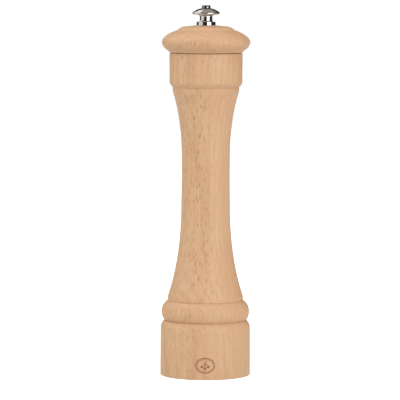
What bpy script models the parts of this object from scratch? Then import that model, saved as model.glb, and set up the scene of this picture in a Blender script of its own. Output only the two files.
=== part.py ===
"""A turned wooden pepper mill, 220 mm tall, with its whole grinding mechanism.

Frame: metres, +Z up, origin at the centre of the foot, on the surface that the mill stands on.
-Y is the front. Everything turns about the Z axis. Turning the head turns the square spindle and
the grinder rotor. Turning the knob on the head raises or lowers the spindle, which sets the grind.

Sizes below are in millimetres and are turned into metres where a mesh is made. Pieces that touch on
the real mill keep a gap of CLEAR.
"""

import math

import bmesh
import bpy
from mathutils import Matrix, Vector

MM = 0.001
CLEAR = 0.3
WOOD_STEPS = 36
METAL_STEPS = 24

# Driving dimensions of the wooden parts
RIM_Z = 191.2
HEAD_SEAT_Z = RIM_Z + CLEAR
HEAD_TOP_Z = 208.2
CROWN_R = 71.0
FOOT_R = 26.8
CHAMBER_R = 10.5
CHAMBER_FOOT_Z = 35.5
SOCKET_R = 14.0
SOCKET_FLOOR_Z = 175.5
TENON_R = 13.6
TENON_FOOT_Z = 179.3
SPINDLE_HOLE_R = 4.0

# The mechanism, from the foot up
RECESS_R = 19.5
RECESS_TOP_Z = 9.5
PLATE_T = 1.2
PLATE_Z = RECESS_TOP_Z - CLEAR - PLATE_T
PLATE_R = 19.0
PLATE_BORE_R = 12.0
STRAP_T = 1.2
STRAP_Z = PLATE_Z - CLEAR - STRAP_T
STRAP_LENGTH = 37.8
STRAP_WIDTH = 8.0
COLLAR_R = 3.7
COLLAR_FOOT_Z = 4.6
STATOR_R = 13.2
STATOR_Z = RECESS_TOP_Z + 0.1
STATOR_TOP_Z = 24.0
STATOR_SEAT_R = STATOR_R + CLEAR
STATOR_SEAT_Z = STATOR_TOP_Z + CLEAR
BRIDGE_SEAT_R = 12.5
BRIDGE_FOOT_Z = STATOR_TOP_Z + CLEAR
BRIDGE_TOP_Z = 34.2
BRIDGE_T = 1.0
BRIDGE_SPAN = 23.6
BRIDGE_WIDTH = 5.6
BRIDGE_HUB_R = 5.4
ROTOR_Z = 10.7
ROTOR_TOP_Z = 23.0
ROTOR_WASHER_T = 0.7
ROTOR_WASHER_Z = ROTOR_Z - CLEAR - ROTOR_WASHER_T
ROTOR_WASHER_R = 5.2
SPRING_WASHER_T = 0.7
SPRING_WASHER_Z = BRIDGE_TOP_Z - BRIDGE_T - CLEAR - SPRING_WASHER_T
SPRING_WASHER_R = 5.4
SPRING_WIRE_R = 0.4
SPRING_R = 4.45
SPRING_TURNS = 5.5

# Stator wall and rotor flank, as radius at a height: the gap between them narrows going down
THROAT_Z = 19.0
THROAT_R = 9.2
MOUTH_R = 11.0
FLANK_SLOPE = 0.22
GRIND_GAP = 0.35
FLANK_TOP_Z = 14.0

# Spindle: a square bar with a round pin below it and a thread above it
BAR_SIDE = 5.0
BAR_Z = ROTOR_WASHER_Z - 0.2
BAR_TOP_Z = 203.0
PIN_R = 2.2
PIN_Z = 3.2
THREAD_R = 2.4
THREAD_TOP_Z = 214.9
SQUARE_HOLE_SIDE = BAR_SIDE + 2 * CLEAR
CLIP_R = 4.4
CLIP_T = 0.5
CLIP_Z = BAR_Z - CLEAR - CLIP_T
CLIP_GAP_DEG = 35

# Screws: radius of the circle that they stand on, and their own sizes
FOOT_SCREW_CIRCLE_R = 16.4
FOOT_SCREW = {"head_r": 2.5, "head_t": 1.5, "shank_r": 1.25, "length": 9.0}
DRIVE_SCREW_CIRCLE_R = 8.0
DRIVE_SCREW = {"head_r": 2.3, "head_t": 1.2, "shank_r": 1.1, "length": 8.0}
DRIVE_PLATE_R = 11.5
DRIVE_PLATE_T = 1.2
DRIVE_PLATE_Z = TENON_FOOT_Z - CLEAR - DRIVE_PLATE_T

# Knob and its washer
WASHER_R = 5.9
WASHER_T = 0.6
WASHER_Z = HEAD_TOP_Z - WASHER_T
KNOB_Z = HEAD_TOP_Z + CLEAR
KNOB_TOP_Z = 220.0

BEECH = ((0.67, 0.42, 0.24, 1.0), 0.55, 0.0)
NICKEL = ((0.72, 0.70, 0.66, 1.0), 0.15, 1.0)
ZINC = ((0.62, 0.63, 0.64, 1.0), 0.35, 1.0)
HARD_STEEL = ((0.23, 0.23, 0.24, 1.0), 0.45, 1.0)
SPRING_STEEL = ((0.45, 0.45, 0.46, 1.0), 0.3, 1.0)


# ---------------------------------------------------------------- scene and materials


def clear_scene():
    for obj in list(bpy.data.objects):
        bpy.data.objects.remove(obj, do_unlink=True)


def collection(name):
    made = bpy.data.collections.new(name)
    bpy.context.scene.collection.children.link(made)
    return made


clear_scene()
MILL = collection("pepper_mill")
CUTTERS = collection("cutters")
MATERIALS = {}


def material(name, look):
    if name not in MATERIALS:
        made = bpy.data.materials.new(name)
        made.use_nodes = True
        shader = made.node_tree.nodes["Principled BSDF"]
        colour, roughness, metallic = look
        shader.inputs["Base Color"].default_value = colour
        shader.inputs["Roughness"].default_value = roughness
        shader.inputs["Metallic"].default_value = metallic
        MATERIALS[name] = made
    return MATERIALS[name]


def add_object(name, mesh, group, look=None):
    obj = bpy.data.objects.new(name, mesh)
    group.objects.link(obj)
    if look:
        mesh.materials.append(material(*look))
    if group is CUTTERS:
        obj.hide_render = True
        obj.display_type = "WIRE"
    return obj


def scaled(points):
    return [tuple(value * MM for value in point) for point in points]


# ---------------------------------------------------------------- outlines


def arc(centre, radius, start_deg, end_deg, steps, height=None):
    """Points on an arc in the (r, z) plane, both ends included. A height makes it an oval's arc."""
    found = []
    for i in range(steps + 1):
        angle = math.radians(start_deg + (end_deg - start_deg) * i / steps)
        r = centre[0] + radius * math.cos(angle)
        z = centre[1] + (height or radius) * math.sin(angle)
        found.append((r, z))
    return found


def smooth(points, steps):
    """A Catmull-Rom curve through the points, with steps pieces between each two of them."""
    ends = [points[0], *points, points[-1]]
    found = []
    for p0, p1, p2, p3 in zip(ends, ends[1:], ends[2:], ends[3:]):
        for i in range(steps):
            t = i / steps
            found.append(
                tuple(
                    0.5 * (2 * b + (c - a) * t + (2 * a - 5 * b + 4 * c - d) * t * t
                           + (3 * b - a - 3 * c + d) * t**3)
                    for a, b, c, d in zip(p0, p1, p2, p3)
                )
            )
    return found + [points[-1]]


# ---------------------------------------------------------------- solids


def turned(name, outline, steps, group, look=None):
    """A closed (r, z) outline, down its outer side and up its inner one, turned about Z."""
    mesh = bpy.data.meshes.new(name)
    points = scaled([(r, 0.0, z) for r, z in outline])
    edges = [(i, (i + 1) % len(points)) for i in range(len(points))]
    if outline[0][0] == 0.0:
        edges.pop()
    mesh.from_pydata(points, edges, [])
    obj = add_object(name, mesh, group, look)
    screw = obj.modifiers.new("turn", "SCREW")
    screw.steps = screw.render_steps = steps
    screw.use_merge_vertices = True
    screw.merge_threshold = 0.00001
    screw.use_smooth_shade = True
    return obj


def primitive(name, maker, transform, group, look=None):
    """An object from a bmesh primitive, moved by a 4x4 in metres."""
    mesh = bpy.data.meshes.new(name)
    work = bmesh.new()
    maker(work)
    bmesh.ops.transform(work, matrix=transform, verts=work.verts)
    work.to_mesh(mesh)
    work.free()
    return add_object(name, mesh, group, look)


def block(name, size, centre, group, look=None):
    place = Matrix.Translation(Vector(centre) * MM) @ Matrix.Diagonal((*(Vector(size) * MM), 1.0))
    return primitive(name, lambda w: bmesh.ops.create_cube(w, size=1.0), place, group, look)


def rod(name, radius, low_z, high_z, group, look=None, at=(0.0, 0.0), steps=METAL_STEPS):
    place = Matrix.Translation(Vector((at[0], at[1], (low_z + high_z) / 2)) * MM)

    def maker(work):
        bmesh.ops.create_cone(
            work, cap_ends=True, segments=steps, radius1=radius * MM, radius2=radius * MM,
            depth=(high_z - low_z) * MM,
        )

    return primitive(name, maker, place, group, look)


def combine(obj, operation, *others):
    for other in others:
        step = obj.modifiers.new(f"{operation.lower()} {other.name}", "BOOLEAN")
        step.operation = operation
        step.object = other
    return obj


def ribbed_solid(name, sections, teeth, group, look=None):
    """A toothed loft. A section is (z, tip radius, tooth depth, twist in degrees), lowest first."""
    saw = (0.0, 0.55, 1.0)
    count = teeth * len(saw)
    work = bmesh.new()
    rings = []
    for z, tip_r, depth, twist in sections:
        ring = []
        for i in range(count):
            angle = 2 * math.pi * i / count + math.radians(twist)
            radius = tip_r - depth * saw[i % len(saw)]
            point = Vector((radius * math.cos(angle), radius * math.sin(angle), z)) * MM
            ring.append(work.verts.new(point))
        rings.append(ring)
    for lower, upper in zip(rings, rings[1:]):
        for i in range(count):
            j = (i + 1) % count
            work.faces.new((lower[i], lower[j], upper[j], upper[i]))
    work.faces.new(list(reversed(rings[0])))
    work.faces.new(rings[-1])
    bmesh.ops.recalc_face_normals(work, faces=work.faces)
    mesh = bpy.data.meshes.new(name)
    work.to_mesh(mesh)
    work.free()
    return add_object(name, mesh, group, look)


# ---------------------------------------------------------------- wooden parts


def body_outline():
    collar_foot = [(21.45, 173.8), (20.15, 171.5), (19.95, 171.1)]
    waist = smooth(
        [(19.95, 171.1), (16.6, 157.0), (14.6, 138.5), (14.2, 122.0), (14.45, 103.0),
         (15.0, 86.0), (17.3, 67.0), (20.1, 54.5), (22.44, 47.0)],
        2,
    )
    bead = arc((22.0, 38.5), 4.0, 84, -84, 8, height=5.65)
    shoulder = arc((24.4, 29.7), 2.25, 85, 0, 4)
    foot_edge = arc((FOOT_R - 1.0, 1.0), 1.0, 0, -90, 3)
    outer = [(20.9, RIM_Z), (21.6, RIM_Z - 0.7), *collar_foot[:-1], *waist, (22.44, 44.9)]
    outer += [*bead, (24.5, 32.5), *shoulder, *foot_edge]
    inner = [
        (RECESS_R, 0.0), (RECESS_R, RECESS_TOP_Z), (STATOR_SEAT_R, RECESS_TOP_Z),
        (STATOR_SEAT_R, STATOR_SEAT_Z), (BRIDGE_SEAT_R, STATOR_SEAT_Z),
        (BRIDGE_SEAT_R, CHAMBER_FOOT_Z), (CHAMBER_R, CHAMBER_FOOT_Z + 2.0),
        (CHAMBER_R, SOCKET_FLOOR_Z - 2.0), (SOCKET_R, SOCKET_FLOOR_Z), (SOCKET_R, RIM_Z - 0.5),
        (SOCKET_R + 0.5, RIM_Z),
    ]
    return outer + inner


def head_outline():
    crown = arc((0.0, HEAD_TOP_Z + 0.27 - CROWN_R), CROWN_R, 84.8, 78.7, 3)
    crown_edge = arc((13.9, 204.25), 2.75, 80, 20, 4)
    shoulder = smooth(
        [(16.9, 205.05), (19.2, 204.3), (22.4, 202.75), (24.9, 200.8), (26.07, 198.0), (25.2, 195.4),
         (22.9, 192.9), (21.4, HEAD_SEAT_Z)],
        3,
    )
    tenon = [(TENON_R, HEAD_SEAT_Z), (TENON_R, TENON_FOOT_Z + 0.8), (TENON_R - 0.8, TENON_FOOT_Z)]
    washer_seat_z = WASHER_Z - CLEAR
    bore = [
        (SPINDLE_HOLE_R, TENON_FOOT_Z), (SPINDLE_HOLE_R, washer_seat_z),
        (WASHER_R + CLEAR, washer_seat_z),
    ]
    return [*crown, *crown_edge, *shoulder, *tenon, *bore]


def make_wood():
    beech = ("beech", BEECH)
    body = turned("body", body_outline(), WOOD_STEPS, MILL, beech)
    hole_top = RECESS_TOP_Z + FOOT_SCREW["length"] + 1.0
    for i, at in enumerate(foot_screw_places().values()):
        hole_r = FOOT_SCREW["shank_r"] + CLEAR
        drill = rod(f"foot_drill_{i}", hole_r, RECESS_TOP_Z - 2.0, hole_top, CUTTERS, at=at, steps=12)
        combine(body, "DIFFERENCE", drill)
    head = turned("head", head_outline(), WOOD_STEPS, MILL, beech)
    hole_top = TENON_FOOT_Z + DRIVE_SCREW["length"] + 1.0
    for i, at in enumerate(drive_screw_places().values()):
        hole_r = DRIVE_SCREW["shank_r"] + CLEAR
        drill = rod(f"head_drill_{i}", hole_r, TENON_FOOT_Z - 2.0, hole_top, CUTTERS, at=at, steps=12)
        combine(head, "DIFFERENCE", drill)


# ---------------------------------------------------------------- knob


def knob_outline():
    button = [(2.0, KNOB_TOP_Z), (2.5, KNOB_TOP_Z - 0.4), (2.5, 218.2)]
    saucer = [(4.9, 217.65), (6.7, 216.8), (7.7, 215.95), (7.95, 215.3), (7.6, 214.6), (5.0, 214.45)]
    neck = [(4.25, 213.5), (3.75, 212.2), (3.7, 211.2), (3.95, 210.1)]
    flange = [(5.1, 209.8), (5.5, 209.4), (5.5, KNOB_Z)]
    thread = [(THREAD_R + 0.35, KNOB_Z), (THREAD_R + 0.35, 216.6), (0.0, 216.6)]
    return [(0.0, KNOB_TOP_Z), *button, *saucer, *neck, *flange, *thread]


def make_knob():
    turned("adjusting_knob", knob_outline(), METAL_STEPS, MILL, ("nickel", NICKEL))
    ring = [
        (WASHER_R, WASHER_Z + WASHER_T), (WASHER_R, WASHER_Z),
        (SPINDLE_HOLE_R, WASHER_Z), (SPINDLE_HOLE_R, WASHER_Z + WASHER_T),
    ]
    turned("knob_washer", ring, METAL_STEPS, MILL, ("zinc", ZINC))


# ---------------------------------------------------------------- screws and the plates they hold


def foot_screw_places():
    r = FOOT_SCREW_CIRCLE_R
    return {"left": (-r, 0.0), "right": (r, 0.0), "front": (0.0, -r), "back": (0.0, r)}


def drive_screw_places():
    r = DRIVE_SCREW_CIRCLE_R
    return {"left": (-r, 0.0), "right": (r, 0.0)}


def make_screw(name, size, at, seat_z):
    """A slotted pan-head wood screw that points up, with its head under seat_z."""
    head_z = seat_z - CLEAR - size["head_t"]
    neck_z = head_z + size["head_t"]
    tip_z = neck_z + size["length"]
    outline = [
        (0.0, tip_z), (size["shank_r"] * 0.8, tip_z - 2.0), (size["shank_r"], tip_z - 3.0),
        (size["shank_r"], neck_z), (size["head_r"], neck_z), (size["head_r"], head_z + 0.5),
        (size["head_r"] * 0.75, head_z), (0.0, head_z),
    ]
    screw = turned(name, outline, 16, MILL, ("zinc", ZINC))
    slot = block(f"{name}_slot", (size["head_r"] * 3, 0.7, 1.2), (0, 0, head_z), CUTTERS)
    for obj in (screw, slot):
        obj.location = Vector((at[0], at[1], 0.0)) * MM
    combine(screw, "DIFFERENCE", slot)


def make_drive_plate():
    plate = rod(
        "drive_plate", DRIVE_PLATE_R, DRIVE_PLATE_Z, DRIVE_PLATE_Z + DRIVE_PLATE_T, MILL,
        ("zinc", ZINC), steps=32,
    )
    square = block(
        "drive_square", (SQUARE_HOLE_SIDE, SQUARE_HOLE_SIDE, 8.0), (0, 0, DRIVE_PLATE_Z), CUTTERS
    )
    combine(plate, "DIFFERENCE", square)
    for side, at in drive_screw_places().items():
        hole_r = DRIVE_SCREW["shank_r"] + CLEAR
        drill = rod(
            f"drive_hole_{side}", hole_r, DRIVE_PLATE_Z - 3, DRIVE_PLATE_Z + 3, CUTTERS, at=at, steps=12
        )
        combine(plate, "DIFFERENCE", drill)
        make_screw(f"drive_plate_screw_{side}", DRIVE_SCREW, at, DRIVE_PLATE_Z)


def make_mounting_plate():
    plate = rod(
        "mounting_plate", PLATE_R, PLATE_Z, PLATE_Z + PLATE_T, MILL, ("zinc", ZINC), steps=36
    )
    opening = rod("plate_opening", PLATE_BORE_R, PLATE_Z - 3, PLATE_Z + 3, CUTTERS, steps=36)
    combine(plate, "DIFFERENCE", opening)
    for side, at in foot_screw_places().items():
        hole_r = FOOT_SCREW["shank_r"] + CLEAR
        drill = rod(f"plate_hole_{side}", hole_r, PLATE_Z - 3, PLATE_Z + 3, CUTTERS, at=at, steps=12)
        combine(plate, "DIFFERENCE", drill)
    for side in ("front", "back"):
        make_screw(f"plate_screw_{side}", FOOT_SCREW, foot_screw_places()[side], PLATE_Z)


def make_retaining_strap():
    """A flat bar across the foot, with a collar that is the spindle pin's lower bearing."""
    strap = block(
        "retaining_strap", (STRAP_LENGTH, STRAP_WIDTH, STRAP_T), (0, 0, STRAP_Z + STRAP_T / 2), MILL,
        ("zinc", ZINC),
    )
    round_upright_edges(strap, 3.0)
    collar = rod("strap_collar", COLLAR_R, COLLAR_FOOT_Z, STRAP_Z + STRAP_T / 2, CUTTERS)
    combine(strap, "UNION", collar)
    hole = rod("strap_bearing", PIN_R + CLEAR, 0.0, 12.0, CUTTERS)
    combine(strap, "DIFFERENCE", hole)
    for side in ("left", "right"):
        at = foot_screw_places()[side]
        hole_r = FOOT_SCREW["shank_r"] + CLEAR
        drill = rod(f"strap_hole_{side}", hole_r, STRAP_Z - 3, STRAP_Z + 3, CUTTERS, at=at, steps=12)
        combine(strap, "DIFFERENCE", drill)
        make_screw(f"strap_screw_{side}", FOOT_SCREW, at, STRAP_Z)


def round_upright_edges(obj, radius):
    """Bevels the edges of a block that run along Z."""
    weights = obj.data.attributes.new("bevel_weight_edge", "FLOAT", "EDGE")
    for edge in obj.data.edges:
        a, b = (obj.data.vertices[i].co for i in edge.vertices)
        upright = abs(a.x - b.x) < 1e-6 and abs(a.y - b.y) < 1e-6
        weights.data[edge.index].value = 1.0 if upright else 0.0
    bevel = obj.modifiers.new("corners", "BEVEL")
    bevel.limit_method = "WEIGHT"
    bevel.width = radius * MM
    bevel.segments = 3


# ---------------------------------------------------------------- grinder


def stator_wall_r(z):
    """Radius of the stator's tooth tips at height z."""
    if z >= THROAT_Z:
        return THROAT_R + (MOUTH_R - THROAT_R) * (z - THROAT_Z) / (STATOR_TOP_Z - THROAT_Z)
    return THROAT_R + FLANK_SLOPE * (THROAT_Z - z)


def make_stator():
    stator = rod(
        "grinder_stator", STATOR_R, STATOR_Z, STATOR_TOP_Z, MILL, ("hard_steel", HARD_STEEL), steps=36
    )
    valley = 0.8
    low_z = STATOR_Z - 1.0
    high_z = STATOR_TOP_Z + 1.0
    sections = []
    for z in (low_z, STATOR_Z + 4.0, THROAT_Z, THROAT_Z + 2.5, high_z):
        sections.append((z, stator_wall_r(z) + valley, valley, -2.0 * (z - STATOR_Z)))
    combine(stator, "DIFFERENCE", ribbed_solid("stator_bore", sections, 16, CUTTERS))


def make_rotor():
    """A cone with slanting teeth, wide at its foot, on the spindle's square bar."""
    flank_top_r = stator_wall_r(FLANK_TOP_Z) - GRIND_GAP
    sections = [
        (ROTOR_Z, stator_wall_r(ROTOR_Z) - GRIND_GAP, 0.6, 0.0),
        (FLANK_TOP_Z, flank_top_r, 0.9, 12.0),
        (ROTOR_TOP_Z - 6.2, 8.8, 1.4, 22.0),
        (ROTOR_TOP_Z - 3.5, 7.0, 1.3, 34.0),
        (ROTOR_TOP_Z - 1.5, 5.5, 0.8, 44.0),
        (ROTOR_TOP_Z, 4.9, 0.2, 50.0),
    ]
    rotor = ribbed_solid("grinder_rotor", sections, 12, MILL, ("hard_steel", HARD_STEEL))
    square = block("rotor_square", (SQUARE_HOLE_SIDE, SQUARE_HOLE_SIDE, 40.0), (0, 0, 18.0), CUTTERS)
    combine(rotor, "DIFFERENCE", square)


def make_spindle():
    bar = block(
        "spindle", (BAR_SIDE, BAR_SIDE, BAR_TOP_Z - BAR_Z), (0, 0, (BAR_Z + BAR_TOP_Z) / 2), MILL,
        ("zinc", ZINC),
    )
    pin = rod("spindle_pin", PIN_R, PIN_Z, BAR_Z + 1.0, CUTTERS)
    thread = rod("spindle_thread", THREAD_R, BAR_TOP_Z - 1.0, THREAD_TOP_Z, CUTTERS)
    combine(bar, "UNION", pin, thread)


def make_spindle_clip():
    """A C-shaped snap ring on the pin, which holds the rotor up on the bar."""
    outline = arc((0, 0), CLIP_R, CLIP_GAP_DEG, 360 - CLIP_GAP_DEG, 18)
    outline += arc((0, 0), PIN_R + CLEAR, 360 - CLIP_GAP_DEG, CLIP_GAP_DEG, 18)
    flat_piece("spindle_clip", outline, CLIP_Z, CLIP_T, ("spring_steel", SPRING_STEEL))


def flat_piece(name, outline, low_z, thickness, look):
    """A flat 2D outline in XY, extruded upwards from low_z."""
    curve = bpy.data.curves.new(name, "CURVE")
    curve.dimensions = "2D"
    curve.fill_mode = "BOTH"
    curve.extrude = thickness * MM / 2
    spline = curve.splines.new("POLY")
    spline.points.add(len(outline) - 1)
    for point, (x, y) in zip(spline.points, outline):
        point.co = (x * MM, y * MM, 0.0, 1.0)
    spline.use_cyclic_u = True
    obj = bpy.data.objects.new(name, curve)
    MILL.objects.link(obj)
    curve.materials.append(material(*look))
    obj.location.z = (low_z + thickness / 2) * MM
    return obj


def make_keyed_washer(name, radius, low_z, thickness):
    """A round washer with a square hole, so that it turns with the spindle."""
    washer = rod(name, radius, low_z, low_z + thickness, MILL, ("zinc", ZINC))
    square = block(f"{name}_square", (SQUARE_HOLE_SIDE, SQUARE_HOLE_SIDE, 6.0), (0, 0, low_z), CUTTERS)
    combine(washer, "DIFFERENCE", square)


def make_spring():
    """A compression spring from the rotor's top to the washer under the bridge."""
    per_turn = 12
    low_z = ROTOR_TOP_Z + CLEAR + SPRING_WIRE_R
    high_z = SPRING_WASHER_Z - CLEAR - SPRING_WIRE_R
    closed_turns = 0.9
    closed_rise = SPRING_WIRE_R * 2.2
    curve = bpy.data.curves.new("grinder_spring", "CURVE")
    curve.dimensions = "3D"
    curve.bevel_depth = SPRING_WIRE_R * MM
    curve.bevel_resolution = 2
    curve.use_fill_caps = True
    count = int(SPRING_TURNS * per_turn) + 1
    spline = curve.splines.new("POLY")
    spline.points.add(count - 1)
    for i, point in enumerate(spline.points):
        turn = i / per_turn
        if turn < closed_turns:
            z = low_z + closed_rise * turn / closed_turns
        elif turn > SPRING_TURNS - closed_turns:
            z = high_z - closed_rise * (SPRING_TURNS - turn) / closed_turns
        else:
            share = (turn - closed_turns) / (SPRING_TURNS - 2 * closed_turns)
            z = low_z + closed_rise + (high_z - low_z - 2 * closed_rise) * share
        angle = 2 * math.pi * turn
        place = Vector((SPRING_R * math.cos(angle), SPRING_R * math.sin(angle), z)) * MM
        point.co = (*place, 1.0)
    obj = bpy.data.objects.new("grinder_spring", curve)
    MILL.objects.link(obj)
    curve.materials.append(material("spring_steel", SPRING_STEEL))


def make_bridge():
    """An upside-down U of strip that stands on the stator and guides the spindle above the spring."""
    half_span = BRIDGE_SPAN / 2
    half_width = BRIDGE_WIDTH / 2
    corner = 2.0
    bend = arc((half_span - corner, BRIDGE_TOP_Z - corner), corner, 0, 90, 4)
    side = [(half_span, BRIDGE_FOOT_Z), *bend]
    path = side + [(-x, z) for x, z in reversed(side)]
    mesh = bpy.data.meshes.new("spindle_bridge")
    points = [(x, y, z) for x, z in path for y in (-half_width, half_width)]
    faces = [(2 * i, 2 * i + 1, 2 * i + 3, 2 * i + 2) for i in range(len(path) - 1)]
    mesh.from_pydata(scaled(points), [], faces)
    bridge = add_object("spindle_bridge", mesh, MILL, ("zinc", ZINC))
    solidify = bridge.modifiers.new("strip", "SOLIDIFY")
    solidify.thickness = BRIDGE_T * MM
    solidify.offset = -1.0
    solidify.use_even_offset = True
    hub_low_z = BRIDGE_TOP_Z - BRIDGE_T + 0.05
    hub = rod("bridge_hub", BRIDGE_HUB_R, hub_low_z, BRIDGE_TOP_Z + 0.3, CUTTERS)
    combine(bridge, "UNION", hub)
    corner_of_bar = math.sqrt(2) * BAR_SIDE / 2
    hole = rod("bridge_hole", corner_of_bar + CLEAR, BRIDGE_TOP_Z - 4, BRIDGE_TOP_Z + 4, CUTTERS)
    combine(bridge, "DIFFERENCE", hole)


make_wood()
make_knob()
make_drive_plate()
make_mounting_plate()
make_retaining_strap()
make_stator()
make_rotor()
make_spindle()
make_spindle_clip()
make_keyed_washer("rotor_washer", ROTOR_WASHER_R, ROTOR_WASHER_Z, ROTOR_WASHER_T)
make_keyed_washer("spring_washer", SPRING_WASHER_R, SPRING_WASHER_Z, SPRING_WASHER_T)
make_spring()
make_bridge()
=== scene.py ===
"""A turned beech pepper mill with a nickel knob, in soft studio light, on a plain pale floor.

Every piece is made here as a finished mesh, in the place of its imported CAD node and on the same
body. Sizes are in millimetres in the helpers and the outlines, and in metres in Blender.
Each piece's object stands at the origin, so the materials read the object's own coordinates.
"""

import math

import bmesh
import bpy
import numpy as np
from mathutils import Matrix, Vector


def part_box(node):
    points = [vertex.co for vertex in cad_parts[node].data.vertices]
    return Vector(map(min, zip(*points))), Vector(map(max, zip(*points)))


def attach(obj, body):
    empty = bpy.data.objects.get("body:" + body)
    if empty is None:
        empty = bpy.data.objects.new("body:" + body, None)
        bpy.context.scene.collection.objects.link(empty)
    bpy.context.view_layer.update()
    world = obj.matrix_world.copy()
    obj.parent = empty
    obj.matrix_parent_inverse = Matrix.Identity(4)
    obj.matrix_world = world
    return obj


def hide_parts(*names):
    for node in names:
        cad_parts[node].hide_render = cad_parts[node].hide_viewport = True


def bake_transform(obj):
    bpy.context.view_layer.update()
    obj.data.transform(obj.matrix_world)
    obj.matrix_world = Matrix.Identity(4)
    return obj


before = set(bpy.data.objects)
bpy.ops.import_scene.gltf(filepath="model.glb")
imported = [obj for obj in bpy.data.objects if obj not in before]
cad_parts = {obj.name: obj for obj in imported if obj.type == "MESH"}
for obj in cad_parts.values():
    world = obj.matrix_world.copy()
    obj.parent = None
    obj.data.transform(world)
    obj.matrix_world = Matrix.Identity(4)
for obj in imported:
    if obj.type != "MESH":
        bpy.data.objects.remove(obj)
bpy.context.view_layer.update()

MM = 0.001
TURN_STEPS = 192  # points round the turnings that show
METAL_STEPS = 96  # points round the small metal pieces

FOOT_R = 26.79
FOOT_TAPER = 0.0032  # how much smaller the radius is for each mm up the foot
SEAM_LIFT = 0.6  # the joint line of head and body stands this far above the CAD model's
SCREW_HOLE_R = 1.55
DRIVE_HOLE_R = 1.4
SQUARE_HOLE = (5.6, 3.75)  # side, and radius that the corners are turned down to

STRAP_SCREWS = ("strap_screw_left", "strap_screw_right")
PLATE_SCREWS = ("plate_screw_front", "plate_screw_back")
DRIVE_SCREWS = ("drive_plate_screw_left", "drive_plate_screw_right")


# ---------------------------------------------------------------- camera


def make_camera():
    data = bpy.data.cameras.new("camera")
    data.lens = 264.24
    data.sensor_width = 36.0
    data.clip_start = 0.05
    data.clip_end = 60.0
    camera = bpy.data.objects.new("camera", data)
    bpy.context.scene.collection.objects.link(camera)
    camera.location = (0.0, -1.741, 0.244)
    down_deg, roll_deg, left_deg = 4.584, -0.155, 0.1225
    camera.rotation_euler = [math.radians(a) for a in (90.0 - down_deg, roll_deg, left_deg)]
    bpy.context.scene.camera = camera


make_camera()


# ---------------------------------------------------------------- outlines, in mm


def span(node, axis=2):
    """A CAD node's lowest and highest coordinate on one axis."""
    low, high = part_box(node)
    return low[axis] / MM, high[axis] / MM


def middle(node, axis):
    """The middle of a CAD node's box on one axis."""
    return sum(span(node, axis)) / 2


def places(nodes):
    """Where CAD nodes stand in XY."""
    return [(middle(node, 0), middle(node, 1)) for node in nodes]


def arc(centre, radius, start_deg, end_deg, steps):
    """Points on an arc of a circle."""
    angles = np.radians(np.linspace(start_deg, end_deg, steps + 1))
    r = centre[0] + radius * np.cos(angles)
    z = centre[1] + radius * np.sin(angles)
    return list(zip(r.tolist(), z.tolist()))


def smooth(points, steps):
    """A Catmull-Rom curve through the points."""
    ends = [points[0], *points, points[-1]]
    found = []
    for p0, p1, p2, p3 in zip(ends, ends[1:], ends[2:], ends[3:]):
        for t in np.arange(steps) / steps:
            found.append(
                tuple(
                    0.5 * (2 * b + (c - a) * t + (2 * a - 5 * b + 4 * c - d) * t**2
                           + (3 * b - a - 3 * c + d) * t**3)
                    for a, b, c, d in zip(p0, p1, p2, p3)
                )
            )
    return found + [points[-1]]


def rounded(corners, steps=5):
    """A closed outline. A corner's third value is the radius that rounds it off."""
    found = []
    for i, corner in enumerate(corners):
        here = Vector(corner[:2])
        if len(corner) == 2:
            found.append(tuple(here))
            continue
        before = Vector(corners[i - 1][:2]) - here
        after = Vector(corners[(i + 1) % len(corners)][:2]) - here
        half = before.angle(after) / 2
        reach = min(corner[2] / math.tan(half), 0.49 * before.length, 0.49 * after.length)
        radius = reach * math.tan(half)
        inward = (before.normalized() + after.normalized()).normalized()
        centre = here + inward * (radius / math.sin(half))
        start = here + before.normalized() * reach - centre
        turn = (here + after.normalized() * reach - centre).angle_signed(start)
        for t in range(steps + 1):
            angle = turn * t / steps
            c, s = math.cos(angle), math.sin(angle)
            spoke = Vector((c * start.x - s * start.y, s * start.x + c * start.y))
            found.append(tuple(centre + spoke))
    return found


# ---------------------------------------------------------------- meshes


def circle(steps):
    """The cosine, the sine and the angle of each of a circle's points."""
    angles = np.arange(steps) * 2 * math.pi / steps
    return np.cos(angles), np.sin(angles), angles


def ring(radius, z, steps):
    """A ring of points. radius is a number or a function of the angle."""
    c, s, angles = circle(steps)
    r = radius(angles) if callable(radius) else radius
    return np.stack([r * c, r * s, np.full(steps, z)], axis=1)


def square(side, corner_r):
    """Radius of a square at an angle, with its corners turned down to corner_r."""
    def radius(angles):
        flat = side / 2 / np.maximum(np.abs(np.cos(angles)), np.abs(np.sin(angles)))
        return np.minimum(flat, corner_r)
    return radius


def mesh_of(name, shells):
    """A mesh of one or more shells. Each is (rings of points in mm, whether the rings close)."""
    work = bmesh.new()
    for rings, loop in shells:
        rows = [[work.verts.new(Vector(p) * MM) for p in points] for points in rings]
        pairs = list(zip(rows, rows[1:]))
        if loop:
            pairs.append((rows[-1], rows[0]))
        for lower, upper in pairs:
            for i in range(len(lower)):
                work.faces.new((lower[i - 1], lower[i], upper[i], upper[i - 1]))
        if not loop:
            work.faces.new(rows[0])
            work.faces.new(rows[-1])
    bmesh.ops.recalc_face_normals(work, faces=work.faces)
    mesh = bpy.data.meshes.new(name)
    work.to_mesh(mesh)
    work.free()
    return mesh


def link(name, mesh):
    obj = bpy.data.objects.new(name, mesh)
    bpy.context.scene.collection.objects.link(obj)
    return obj


def apply_modifiers(obj):
    graph = bpy.context.evaluated_depsgraph_get()
    mesh = bpy.data.meshes.new_from_object(obj.evaluated_get(graph))
    obj.modifiers.clear()
    obj.data = mesh
    mesh.name = obj.name


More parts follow.
